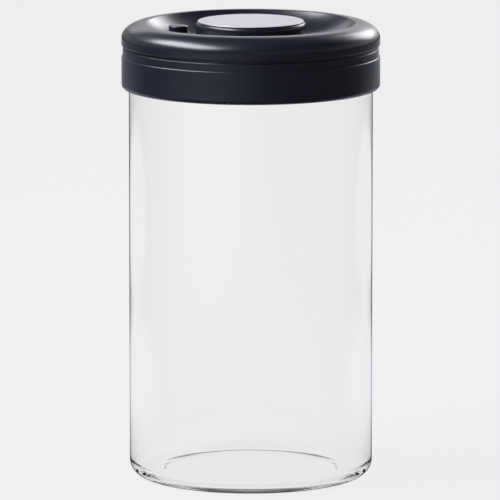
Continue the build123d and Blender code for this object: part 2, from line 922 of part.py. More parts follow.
pieces = {
    "glass_jar": glass_jar,
    "lid_chassis": lid_chassis,
    "jar_gasket": jar_gasket,
    "lid_collar": lid_collar,
    "collar_screws": collar_screws,
    "top_cover": top_cover,
    "button_cap": button_cap,
    "button_plate": button_plate,
    "cap_screws": cap_screws,
    "piston": piston,
    "piston_seal": piston_seal,
    "inlet_valve": inlet_valve,
    "outlet_valve": outlet_valve,
    "pump_spring": pump_spring,
    "release_button": release_button,
    "release_spring": release_spring,
    "release_seal": release_seal,
    "release_clip": release_clip,
    "filter_mesh": filter_mesh,
    "filter_cap": filter_cap,
}

os.makedirs("parts", exist_ok=True)
for name, piece in pieces.items():
    piece.part.label = name
    export_step(piece.part, f"parts/{name}.step")
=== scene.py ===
import json
from math import acos, cos, degrees, pi, radians, sin, tan

import bpy
from bpy.props import FloatProperty, FloatVectorProperty, IntProperty, PointerProperty
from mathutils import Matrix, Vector


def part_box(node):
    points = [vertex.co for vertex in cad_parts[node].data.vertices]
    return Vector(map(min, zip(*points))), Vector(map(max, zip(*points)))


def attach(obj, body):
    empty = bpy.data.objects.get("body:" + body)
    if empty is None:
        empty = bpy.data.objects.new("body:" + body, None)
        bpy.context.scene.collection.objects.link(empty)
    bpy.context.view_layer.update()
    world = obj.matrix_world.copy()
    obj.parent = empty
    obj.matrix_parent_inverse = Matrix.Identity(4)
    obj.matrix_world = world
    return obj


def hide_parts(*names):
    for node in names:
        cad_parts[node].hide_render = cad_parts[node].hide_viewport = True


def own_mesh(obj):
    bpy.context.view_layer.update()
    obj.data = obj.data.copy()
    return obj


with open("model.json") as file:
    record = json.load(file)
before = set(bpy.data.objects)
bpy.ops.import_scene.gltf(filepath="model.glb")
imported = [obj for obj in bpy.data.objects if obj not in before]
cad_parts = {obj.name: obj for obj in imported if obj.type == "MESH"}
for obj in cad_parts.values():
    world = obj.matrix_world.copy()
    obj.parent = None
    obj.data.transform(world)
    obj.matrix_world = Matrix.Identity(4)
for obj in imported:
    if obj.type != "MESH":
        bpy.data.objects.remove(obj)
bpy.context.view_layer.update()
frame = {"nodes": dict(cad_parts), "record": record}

bl_info = {
    "name": "Vacuum canister",
    "version": (1, 0, 0),
    "blender": (4, 5, 0),
    "location": "3D View > Sidebar > Canister",
    "description": "Models the visible pieces of a glass canister with a vacuum pump lid",
    "category": "Add Mesh",
}

mm = 0.001
weld = 0.001 * mm

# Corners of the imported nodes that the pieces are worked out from
jar_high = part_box("glass_jar")[1]
collar_low, collar_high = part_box("lid_collar")
cover_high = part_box("top_cover")[1]
cap_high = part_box("button_cap")[1]
plate_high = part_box("button_plate")[1]
knob_low, knob_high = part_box("release_button")
gasket_low, gasket_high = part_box("jar_gasket")
knob_x = (knob_low[0] + knob_high[0]) / 2


def size(label, default, description):
    """A length that a user may change."""
    return FloatProperty(name=label, description=description, default=default, unit="LENGTH", precision=5)


def number(label, default, description):
    """A number of copies or turns that a user may change."""
    return IntProperty(name=label, description=description, default=default, min=1)


def tint(label, default, description):
    """A colour that a user may change."""
    return FloatVectorProperty(
        name=label, description=description, default=default, subtype="COLOR", size=3, min=0, max=1
    )


class JarSizes(bpy.types.PropertyGroup):
    wall: size("Wall", 2.0 * mm, "Thickness of the glass wall")
    base: size("Base", 3.0 * mm, "Thickness of the glass base")
    heel: size("Heel", 6.4 * mm, "Rounding between the wall and the base, outside")
    inner_heel: size("Inner heel", 4.4 * mm, "Rounding between the wall and the base, inside")
    rim_round: size("Rim rounding", 0.8 * mm, "Rounding of the fire-polished rim")
    punt_radius: size("Punt radius", 38.0 * mm, "Radius of the hollow under the base")
    punt_depth: size("Punt depth", 0.5 * mm, "Depth of the hollow under the base")


class LidSizes(bpy.types.PropertyGroup):
    collar_wall: size("Collar wall", 2.1 * mm, "Thickness of the skirt that covers the glass rim")
    skirt: size("Skirt height", 13.5 * mm, "Height of the skirt, up to the groove")
    skirt_round: size("Skirt rounding", 1.9 * mm, "Rounding of the skirt's lower edge")
    edge_round: size("Edge rounding", 0.45 * mm, "Rounding of the collar's two upper edges")
    neck_step: size("Neck step", 0.5 * mm, "How far the lower step of the neck lies in")
    neck_step_height: size("Neck step height", 3.3 * mm, "Height of the lower step of the neck")
    neck: size("Neck inset", 1.1 * mm, "How far the neck lies in from the skirt")
    ledge: size("Ledge", 1.7 * mm, "Thickness of the ledge inside the collar")
    ledge_radius: size("Ledge radius", 45.25 * mm, "Inner radius of the ledge")
    side: size("Cover side", 2.8 * mm, "Height of the cover's straight side")
    shoulder: size("Shoulder width", 9.4 * mm, "Width of the cover's rounded shoulder")
    crest: size("Crest", 0.8 * mm, "Width of the flat on the crest, before it is rounded")
    crest_round: size("Crest rounding", 0.7 * mm, "Rounding between the crest and the dish")
    dish: size("Dish depth", 6.9 * mm, "Depth of the dish below the crest")
    dish_flat: size("Dish flat", 27.0 * mm, "Radius of the flat centre of the dish")
    wall: size("Cover wall", 1.8 * mm, "Thickness of the cover")
    button_gap: size("Button gap", 0.35 * mm, "Gap between the button and the cover")
    boss: size("Release boss", 5.0 * mm, "Radius of the boss round the release button")
    boss_height: size("Boss height", 3.0 * mm, "Height of that boss above the dish")
    knob: size("Release button", 3.9 * mm, "Radius of the release button")
    knob_gap: size("Release gap", 0.3 * mm, "Gap between the release button and its boss")
    cap_lip: size("Button lip", 0.4 * mm, "How far the lip round the disc stands above the disc's lower side")
    cap_brow: size("Button edge", 1.6 * mm, "Height of the rounding between the button's side and its lip")
    disc_inset: size("Disc inset", 0.95 * mm, "How far the disc lies in from the button's side")
    disc_thick: size("Disc thickness", 0.2 * mm, "How far the bright disc stands out of the button")
    hook_radius: size("Hook radius", 43.1 * mm, "Radius of the outer side of the snap hooks")
    hook_wall: size("Hook wall", 1.2 * mm, "Thickness of a snap hook")
    hook_width: size("Hook width", 7.0 * mm, "Width of a snap hook")
    hook_tooth: size("Hook tooth", 0.8 * mm, "How far a hook's tooth stands out")
    hook_drop: size("Hook drop", 18.3 * mm, "How far the hooks' feet lie below the crest")
    hook_count: number("Hooks", 6, "Number of snap hooks round the cover")


class SealSizes(bpy.types.PropertyGroup):
    gasket_inner: size("Gasket inside", 45.25 * mm, "Inner radius of the gasket")
    gasket_wall: size("Gasket wall", 1.1 * mm, "Thickness of the gasket's wall")
    gasket_flange: size("Gasket flange", 1.4 * mm, "Thickness of the flange on the glass rim")
    fin_reach: size("Fin reach", 1.35 * mm, "How far the fins stand out from the gasket's wall")
    fin_root: size("Fin root", 1.0 * mm, "Thickness of a fin at its root")
    fin_tip: size("Fin tip", 0.35 * mm, "Thickness of a fin at its tip")
    fin_rise: size("Fin rise", 0.6 * mm, "How far a fin's tip lies above its root")
    fin_first: size("First fin", 1.3 * mm, "Height of the lowest fin above the gasket's foot")
    fin_pitch: size("Fin pitch", 2.5 * mm, "Distance between fins")
    fin_count: number("Fins", 3, "Number of fins round the gasket")
    valve_crown: size("Valve crown", 1.0 * mm, "Height of a valve's head at its centre")
    valve_edge: size("Valve edge", 0.45 * mm, "Height of a valve's head at its edge")
    valve_stem: size("Valve stem", 1.4 * mm, "Radius of a valve's stem")
    valve_bulb: size("Valve bulb", 2.0 * mm, "Radius of the bulb that holds a valve in its web")


class SpringSizes(bpy.types.PropertyGroup):
    pump_wire: size("Pump spring wire", 1.3 * mm, "Thickness of the pump spring's wire")
    pump_turns: number("Pump spring turns", 4, "Turns of the pump spring")
    release_wire: size("Release spring wire", 0.5 * mm, "Thickness of the release spring's wire")
    release_turns: number("Release spring turns", 9, "Turns of the release button's spring")


class Finish(bpy.types.PropertyGroup):
    plastic: tint("Lid plastic", (0.0072, 0.0082, 0.0160), "Blue-black of the collar, cover and buttons")
    chassis: tint("Chassis plastic", (0.020, 0.020, 0.024), "Dark grey of the pieces inside the lid")
    disc: tint("Disc", (0.525, 0.505, 0.545), "Satin silver of the disc on the pump button")
    silicone: tint("Silicone", (0.55, 0.56, 0.57), "Grey of the gasket and valves")
    steel: tint("Steel", (0.55, 0.55, 0.57), "Springs, screws and filter mesh")
    floor: tint("Floor", (0.85, 0.85, 0.85), "Pale floor under the canister")


class Studio(bpy.types.PropertyGroup):
    elevation: FloatProperty(
        name="Elevation", description="Camera angle above the horizon", default=radians(9.35), subtype="ANGLE"
    )
    distance: size("Distance", 2.75, "Camera distance from the aim point")
    lens: FloatProperty(name="Lens", description="Focal length in millimetres", default=481.2)
    aim_x: size("Aim X", -0.34 * mm, "Where the camera aims, across")
    aim_z: size("Aim Z", 93.26 * mm, "Where the camera aims, up")


# Modelling helpers


def deselect_all():
    if bpy.context.object and bpy.context.object.mode != "OBJECT":
        bpy.ops.object.mode_set(mode="OBJECT")
    bpy.ops.object.select_all(action="DESELECT")


def soften(corners, steps=6):
    """Turns corners (radius, height, rounding) into the points of an outline with those roundings as arcs."""
    points = []
    for place, (r, z, rounding) in enumerate(corners):
        here = Vector((r, z))
        if not rounding:
            points.append(here)
            continue
        before = (Vector(corners[place - 1][:2]) - here).normalized()
        after = (Vector(corners[(place + 1) % len(corners)][:2]) - here).normalized()
        half = before.angle(after) / 2
        centre = here + (before + after).normalized() * (rounding / sin(half))
        first = here + before * (rounding / tan(half)) - centre
        last = here + after * (rounding / tan(half)) - centre
        points += [centre + first.slerp(last, step / steps) * rounding for step in range(steps + 1)]
    return points


def ellipse_points(centre, wide, high, start, end, steps):
    """Points along an ellipse's arc, with angles in degrees from the outward direction."""
    angles = [radians(start + (end - start) * step / steps) for step in range(steps + 1)]
    return [Vector((centre[0] + wide * cos(a), centre[1] + high * sin(a))) for a in angles]


def draw(name, outline, closed, start_x, start_y):
    """Starts a piece and draws an outline (across, up) as edges in an upright plane, from its start on."""
    deselect_all()
    bpy.ops.mesh.primitive_plane_add(size=mm, location=(0, 0, 0))
    piece = bpy.context.object
    piece.name = piece.data.name = name
    bpy.ops.object.mode_set(mode="EDIT")
    bpy.ops.mesh.merge(type="CENTER")
    here = outline[0]
    bpy.ops.transform.translate(value=(start_x, start_y, here[1]))
    for point in outline[1:] + ([outline[0]] if closed else []):
        step = point - here
        bpy.ops.mesh.extrude_region_move(TRANSFORM_OT_translate={"value": (step[0], 0, step[1])})
        here = point
    bpy.ops.mesh.select_all(action="SELECT")
    bpy.ops.mesh.remove_doubles(threshold=weld)
    return piece


def turned(name, outline, closed, axis_x=0.0, segments=160):
    """Draws an outline and spins it round a vertical axis into a piece."""
    piece = draw(name, outline, closed, axis_x + outline[0][0], 0)
    bpy.ops.mesh.spin(steps=segments, angle=2 * pi, center=(axis_x, 0, 0), axis=(0, 0, 1))
    bpy.ops.mesh.select_all(action="SELECT")
    bpy.ops.mesh.remove_doubles(threshold=weld)
    bpy.ops.mesh.normals_make_consistent(inside=False)
    bpy.ops.object.mode_set(mode="OBJECT")
    return piece


def slab(name, outline, thick):
    """Draws an outline, fills it and extrudes it to a thickness."""
    piece = draw(name, outline, True, outline[0][0], -thick / 2)
    bpy.ops.mesh.edge_face_add()
    bpy.ops.mesh.extrude_region_move(TRANSFORM_OT_translate={"value": (0, thick, 0)})
    bpy.ops.mesh.select_all(action="SELECT")
    bpy.ops.mesh.normals_make_consistent(inside=False)
    bpy.ops.object.mode_set(mode="OBJECT")
    return piece


def coil(name, node, wire, turns, centre_x=0.0):
    """Winds a wire as one unbroken helix that fills the height of its node."""
    low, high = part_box(node)
    mean = (high[0] - low[0]) / 2 - wire / 2
    pitch = (high[2] - low[2] - wire) / turns
    deselect_all()
    bpy.ops.mesh.primitive_circle_add(
        vertices=14, radius=wire / 2, location=(mean, 0, low[2] + wire / 2), rotation=(pi / 2, 0, 0)
    )
    bpy.ops.object.transform_apply(location=True, rotation=True, scale=True)
    piece = bpy.context.object
    piece.name = piece.data.name = name
    bpy.ops.object.modifier_add(type="SCREW")
    winding = piece.modifiers[-1]
    winding.angle = 2 * pi
    winding.screw_offset = pitch
    winding.iterations = turns
    winding.steps = winding.render_steps = 40
    winding.use_merge_vertices = False
    bpy.ops.object.modifier_apply(modifier=winding.name)
    bpy.ops.object.mode_set(mode="EDIT")
    bpy.ops.mesh.select_all(action="SELECT")
    bpy.ops.mesh.fill_holes(sides=0)
    bpy.ops.mesh.select_all(action="SELECT")
    bpy.ops.mesh.normals_make_consistent(inside=False)
    bpy.ops.transform.translate(value=(centre_x, 0, 0))
    bpy.ops.object.mode_set(mode="OBJECT")
    return piece


def ring_of(piece, count, start):
    """Copies a piece round the canister's axis, from a first angle in degrees, and joins the copies."""
    copies = [piece]
    for _ in range(count - 1):
        copy = piece.copy()
        copy.data = piece.data.copy()
        bpy.context.scene.collection.objects.link(copy)
        copies.append(copy)
    deselect_all()
    for turn, copy in enumerate(copies):
        copy.rotation_euler.z = radians(start + turn * 360 / count)
        copy.select_set(True)
    bpy.context.view_layer.objects.active = piece
    bpy.ops.object.transform_apply(location=True, rotation=True, scale=True)
    bpy.ops.object.join()
    return piece


def finish_surface(piece, angle=32):
    """Smooth shading with crisp edges, and flats that stay flat beside their roundings."""
    deselect_all()
    piece.select_set(True)
    bpy.context.view_layer.objects.active = piece
    bpy.ops.object.shade_smooth_by_angle(angle=radians(angle))
    bpy.ops.object.modifier_add(type="WEIGHTED_NORMAL")
    piece.modifiers[-1].keep_sharp = True
    bpy.ops.object.modifier_apply(modifier=piece.modifiers[-1].name)


def combine(piece, other, operation):
    """Joins or cuts a piece with another, which is used up, and clears the slivers that this leaves."""
    deselect_all()
    piece.select_set(True)
    bpy.context.view_layer.objects.active = piece
    bpy.ops.object.modifier_add(type="BOOLEAN")
    cut = piece.modifiers[-1]
    cut.operation = operation
    cut.solver = "EXACT"
    cut.object = other
    bpy.ops.object.modifier_apply(modifier=cut.name)
    bpy.data.objects.remove(other)
    bpy.ops.object.mode_set(mode="EDIT")
    bpy.ops.mesh.select_all(action="SELECT")
    bpy.ops.mesh.quads_convert_to_tris(quad_method="BEAUTY", ngon_method="BEAUTY")
    bpy.ops.mesh.dissolve_degenerate(threshold=5 * weld)
    bpy.ops.object.mode_set(mode="OBJECT")


def place(piece, body, slot, *nodes):
    """Rides a piece on its body in place of the nodes that it stands for."""
    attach(piece, body)
    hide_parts(*nodes)


# Materials


class Recipe:
    """A node material under construction, with Object coordinates at hand."""

    def __init__(self, name):
        self.material = bpy.data.materials.new(name)
        self.material.use_nodes = True
        self.tree = self.material.node_tree
        self.shader = self.tree.nodes["Principled BSDF"]
        self.coordinates = self.node("ShaderNodeTexCoord").outputs["Object"]

    def node(self, kind, **settings):
        made = self.tree.nodes.new(kind)
        for key, value in settings.items():
            setattr(made, key, value)
        return made

    def link(self, output, target):
        self.tree.links.new(output, target)

    def noise(self, scale, detail=2.0, coordinates=None):
        made = self.node("ShaderNodeTexNoise")
        made.inputs["Scale"].default_value = scale
        made.inputs["Detail"].default_value = detail
        self.link(coordinates or self.coordinates, made.inputs["Vector"])
        return made.outputs["Fac"]

    def axis_distance(self):
        """The distance from the canister's axis."""
        flat = self.node("ShaderNodeVectorMath", operation="MULTIPLY")
        flat.inputs[1].default_value = (1, 1, 0)
        self.link(self.coordinates, flat.inputs[0])
        length = self.node("ShaderNodeVectorMath", operation="LENGTH")
        self.link(flat.outputs["Vector"], length.inputs[0])
        return length.outputs["Value"]

    def between(self, factor, low, high, start=0.0, end=1.0):
        """A number that follows a pattern between two values."""
        made = self.node("ShaderNodeMapRange")
        made.inputs["From Min"].default_value = start
        made.inputs["From Max"].default_value = end
        made.inputs["To Min"].default_value = low
        made.inputs["To Max"].default_value = high
        self.link(factor, made.inputs["Value"])
        return made.outputs["Result"]

    def sum(self, operation, first, second):
        """Two numbers put together by an operation."""
        made = self.node("ShaderNodeMath", operation=operation)
        self.link(first, made.inputs[0])
        self.link(second, made.inputs[1])
        return made.outputs[0]

    def shades(self, factor, base, spread):
        """A colour that follows a pattern a little darker and lighter than its base."""
        made = self.node("ShaderNodeMix", data_type="RGBA")
        made.inputs["A"].default_value = (*[c * (1 - spread) for c in base], 1)
        made.inputs["B"].default_value = (*[min(1, c * (1 + spread)) for c in base], 1)
        self.link(factor, made.inputs["Factor"])
        return made.outputs["Result"]

    def bump(self, height, strength, distance):
        made = self.node("ShaderNodeBump")
        made.inputs["Strength"].default_value = strength
        made.inputs["Distance"].default_value = distance
        self.link(height, made.inputs["Height"])
        self.link(made.outputs["Normal"], self.shader.inputs["Normal"])

    def set(self, **values):
        for key, value in values.items():
            self.shader.inputs[key.replace("_", " ")].default_value = value


def glass_finish(jar):
    """Clear pressed glass with faint waves, and painted shade: a dark edge painted into its colour where its
    outer skin is seen at a low angle.
    """
    recipe = Recipe("clear_glass")
    recipe.set(Transmission_Weight=1.0, IOR=1.5)
    facing = recipe.node("ShaderNodeLayerWeight")
    facing.inputs["Blend"].default_value = 0.5
    graze = recipe.between(facing.outputs["Facing"], 0, 1, start=0.84, end=0.90)
    heel_r = jar_high[0] - jar.heel
    sideways = recipe.between(recipe.axis_distance(), 0, 1, heel_r, heel_r + 1)
    height = recipe.node("ShaderNodeSeparateXYZ")
    recipe.link(recipe.coordinates, height.inputs["Vector"])
    downward = recipe.between(height.outputs["Z"], 1, 0, jar.heel - 1, jar.heel)
    corner = recipe.node("ShaderNodeCombineXYZ")
    recipe.link(sideways, corner.inputs["X"])
    recipe.link(downward, corner.inputs["Z"])
    reach = recipe.node("ShaderNodeVectorMath", operation="LENGTH")
    recipe.link(corner.outputs["Vector"], reach.inputs[0])
    outside = recipe.between(reach.outputs["Value"], 0, 1, jar.heel - 0.8 * mm, jar.heel - 0.4 * mm)
    # Painted shade: mask of the dark edge painted on the outer skin where it is seen at a low angle
    edge = recipe.sum("MULTIPLY", graze, outside)
    clear = recipe.shades(recipe.noise(20, 2), (0.996, 0.999, 0.998), 0.003)
    tone = recipe.node("ShaderNodeMix", data_type="RGBA")
    recipe.link(edge, tone.inputs["Factor"])
    recipe.link(clear, tone.inputs["A"])
    # Colour of the painted dark edge
    tone.inputs["B"].default_value = (0.06, 0.065, 0.065, 1)
    recipe.link(tone.outputs["Result"], recipe.shader.inputs["Base Color"])
    recipe.link(recipe.between(recipe.noise(45, 3), 0.0, 0.012), recipe.shader.inputs["Roughness"])
    recipe.bump(recipe.noise(28, 1), 0.03, 0.3 * mm)
    return recipe.material


def plastic_finish(name, colour, low, high, grain):
    """Moulded plastic with the fine grain of its mould and slight changes of gloss."""
    recipe = Recipe(name)
    recipe.link(recipe.shades(recipe.noise(70, 3), colour, 0.12), recipe.shader.inputs["Base Color"])
    recipe.link(recipe.between(recipe.noise(240, 4), low, high), recipe.shader.inputs["Roughness"])
    recipe.bump(recipe.noise(grain, 3), 0.12, 0.02 * mm)
    return recipe.material


def disc_finish(colour):
    """Satin silver with fine rings from turning."""
    recipe = Recipe("satin_disc")
    rings = recipe.node("ShaderNodeCombineXYZ")
    recipe.link(recipe.axis_distance(), rings.inputs["X"])
    ring_noise = recipe.noise(9000, 2, rings.outputs["Vector"])
    recipe.link(recipe.shades(recipe.noise(60, 2), colour, 0.03), recipe.shader.inputs["Base Color"])
    recipe.link(recipe.between(ring_noise, 0.36, 0.46), recipe.shader.inputs["Roughness"])
    recipe.bump(ring_noise, 0.05, 0.01 * mm)
    recipe.set(Metallic=0.75)
    return recipe.material


def silicone_finish(colour):
    """Soft matt silicone, a little translucent."""
    recipe = Recipe("soft_silicone")
    recipe.link(recipe.shades(recipe.noise(90, 3), colour, 0.06), recipe.shader.inputs["Base Color"])
    recipe.link(recipe.between(recipe.noise(400, 3), 0.45, 0.6), recipe.shader.inputs["Roughness"])
    recipe.bump(recipe.noise(3000, 2), 0.1, 0.02 * mm)
    recipe.set(Subsurface_Weight=0.15, Subsurface_Scale=1.5 * mm)
    return recipe.material


def steel_finish(colour):
    """Drawn stainless steel with fine lengthwise marks."""
    recipe = Recipe("bright_steel")
    recipe.link(recipe.shades(recipe.noise(500, 3), colour, 0.08), recipe.shader.inputs["Base Color"])
    recipe.link(recipe.between(recipe.noise(1500, 3), 0.22, 0.36), recipe.shader.inputs["Roughness"])
    recipe.bump(recipe.noise(5000, 2), 0.06, 0.01 * mm)
    recipe.set(Metallic=1.0)
    return recipe.material


def woven_mesh_finish(colour):
    """Fine woven steel wire, with the openings between the wires painted near black as painted shade."""
    recipe = Recipe("woven_steel_mesh")
    wires = []
    for direction in ("X", "Y"):
        wave = recipe.node("ShaderNodeTexWave", bands_direction=direction)
        wave.inputs["Scale"].default_value = 520
        recipe.link(recipe.coordinates, wave.inputs["Vector"])
        wires.append(wave.outputs["Fac"])
    weave = recipe.sum("MAXIMUM", *wires)
    wire = recipe.between(weave, 0, 1, 0.45, 0.7)
    # Painted shade: the openings between the wires are painted near black
    tone = recipe.node("ShaderNodeMix", data_type="RGBA")
    tone.inputs["A"].default_value = (0.02, 0.02, 0.02, 1)
    tone.inputs["B"].default_value = (*colour, 1)
    recipe.link(wire, tone.inputs["Factor"])
    recipe.link(tone.outputs["Result"], recipe.shader.inputs["Base Color"])
    recipe.link(recipe.between(recipe.noise(1500, 3), 0.25, 0.4), recipe.shader.inputs["Roughness"])
    recipe.bump(weave, 0.5, 0.08 * mm)
    recipe.set(Metallic=1.0)
    return recipe.material


def floor_finish(colour):
    """Plain pale floor, lit through from below, with the faintest change of tone."""
    recipe = Recipe("pale_floor")
    unlit = [c * 0.03 for c in colour]
    recipe.link(recipe.shades(recipe.noise(3, 1), unlit, 0.02), recipe.shader.inputs["Base Color"])
    recipe.link(recipe.shades(recipe.noise(3, 1), colour, 0.002), recipe.shader.inputs["Emission Color"])
    recipe.set(Roughness=0.9, Emission_Strength=0.98)
    recipe.shader.inputs["Specular IOR Level"].default_value = 0.0
    return recipe.material


def mirrored_floor_finish(colour):
    """The floor as glossy pieces see it: dim, with pools of light in front, behind and on both sides."""
    recipe = Recipe("mirrored_floor")
    recipe.set(Base_Color=(0, 0, 0, 1), Roughness=1.0)
    recipe.shader.inputs["Specular IOR Level"].default_value = 0.0
    cool = (colour[0] * 0.90, colour[1] * 0.94, colour[2] * 1.08)
    far = recipe.between(recipe.axis_distance(), 0, 1, start=1.13, end=1.19)
    level = recipe.between(recipe.noise(3, 1), 0.035, 0.045)
    for centre, flat, reach, strength, limit in (
        ((-0.75, -0.95, 0), 0.0, 1.2, 1.3, None),
        ((0.1, 1.2, 0), 0.0, 1.2, 1.25, far),
        ((-0.50, 0.56, 0), 0.22, 0.38, 0.9, None),
        ((0.50, 0.56, 0), 0.22, 0.38, 0.9, None),
        ((-0.22, 0.18, 0), 0.08, 0.24, 0.9, None),
        ((0.22, 0.18, 0), 0.08, 0.24, 0.9, None),
    ):
        offset = recipe.node("ShaderNodeVectorMath", operation="DISTANCE")
        recipe.link(recipe.coordinates, offset.inputs[0])
        offset.inputs[1].default_value = centre
        pool = recipe.between(offset.outputs["Value"], strength, 0, flat, reach)
        pool.node.interpolation_type = "SMOOTHSTEP"
        if limit:
            pool = recipe.sum("MULTIPLY", pool, limit)
        level = recipe.sum("ADD", level, pool)
    recipe.link(level, recipe.shader.inputs["Emission Strength"])
    recipe.set(Emission_Color=(*cool, 1))
    return recipe.material


materials = {}


def paint(piece, name):
    piece.data.materials.clear()
    piece.data.materials.append(materials[name])


class CANISTER_OT_finishes(bpy.types.Operator):
    """Makes the materials and gives the inner pieces of the model theirs"""

    bl_idname = "canister.finishes"
    bl_label = "Finishes"

    def execute(self, context):
        colours = context.scene.canister_finish
        materials["glass"] = glass_finish(context.scene.canister_jar)
        materials["plastic"] = plastic_finish("satin_lid_plastic", colours.plastic, 0.27, 0.33, 2600)
        materials["chassis"] = plastic_finish("matt_chassis_plastic", colours.chassis, 0.45, 0.58, 2600)
        materials["disc"] = disc_finish(colours.disc)
        materials["silicone"] = silicone_finish(colours.silicone)
        materials["steel"] = steel_finish(colours.steel)
        materials["mesh"] = woven_mesh_finish(colours.steel)
        materials["floor"] = floor_finish(colours.floor)
        materials["mirrored_floor"] = mirrored_floor_finish(colours.floor)
        finish_of_slot = {
            "jar_glass": "glass",
            "chassis_plastic": "chassis",
            "silicone": "silicone",
            "lid_plastic": "plastic",
            "screw_steel": "steel",
            "plate_metal": "disc",
            "spring_steel": "steel",
        }
        for subpart in frame["record"]["subparts"]:
            paint(frame["nodes"][subpart["node"]], finish_of_slot[subpart["material_slot"]])
        paint(frame["nodes"]["filter_mesh"], "mesh")
        return {"FINISHED"}


class CANISTER_OT_jar(bpy.types.Operator):
    """Turns the glass jar"""

    bl_idname = "canister.jar"
    bl_label = "Glass jar"

    def execute(self, context):
        jar = context.scene.canister_jar
        outer, top = jar_high[0], jar_high[2]
        inner = outer - jar.wall
        punt_slope, punt_round, foot_round = 3 * mm, 2 * mm, 1 * mm
        outline = soften(
            [
                (0, jar.punt_depth, 0),
                (jar.punt_radius - punt_slope, jar.punt_depth, punt_round),
                (jar.punt_radius, 0, foot_round),
                (outer, 0, jar.heel),
                (outer, top, jar.rim_round),
                (inner, top, jar.rim_round),
                (inner, jar.base, jar.inner_heel),
                (0, jar.base, 0),
            ],
            steps=10,
        )
        piece = turned("canister_glass", outline, closed=False, segments=192)
        finish_surface(piece)
        paint(piece, "glass")
        place(piece, "jar", "jar_glass", "glass_jar")
        return {"FINISHED"}


class CANISTER_OT_collar(bpy.types.Operator):
    """Turns the collar with its skirt, stepped neck and inner ledge"""

    bl_idname = "canister.collar"
    bl_label = "Collar"

    def execute(self, context):
        lid = context.scene.canister_lid
        outer, low, seat = collar_high[0], collar_low[2], collar_high[2]
        skirt_top = low + lid.skirt
        step_top = skirt_top + lid.neck_step_height
        inner, inner_round = outer - lid.collar_wall, 0.15 * mm
        outline = soften(
            [
                (inner, low, inner_round),
                (outer, low, lid.skirt_round),
                (outer, skirt_top, lid.edge_round),
                (outer - lid.neck_step, skirt_top, 0),
                (outer - lid.neck_step, step_top, lid.edge_round),
                (outer - lid.neck, step_top, 0),
                (outer - lid.neck, seat, 0),
                (lid.ledge_radius, seat, 0),
                (lid.ledge_radius, seat - lid.ledge, 0),
                (inner, seat - lid.ledge, 0),
            ],
            steps=8,
        )
        piece = turned("collar_skirt", outline, closed=True)
        finish_surface(piece)
        paint(piece, "plastic")
        place(piece, "lid", "lid_plastic", "lid_collar")
        return {"FINISHED"}


def bowl_points(lid, outset, top):
    """The dish's sweep from its flat centre up to the level top, set out by a thickness."""
    rim_z = cover_high[2]
    dish_z = rim_z - lid.dish
    mouth = cover_high[0] - lid.shoulder - lid.crest
    run = mouth - lid.dish_flat
    sweep = (run**2 + lid.dish**2) / (2 * lid.dish)
    centre_z = dish_z + sweep
    reach = degrees(acos((centre_z - top) / (sweep + outset)))
    return ellipse_points((lid.dish_flat, centre_z), sweep + outset, sweep + outset, -90, reach - 90, 24)


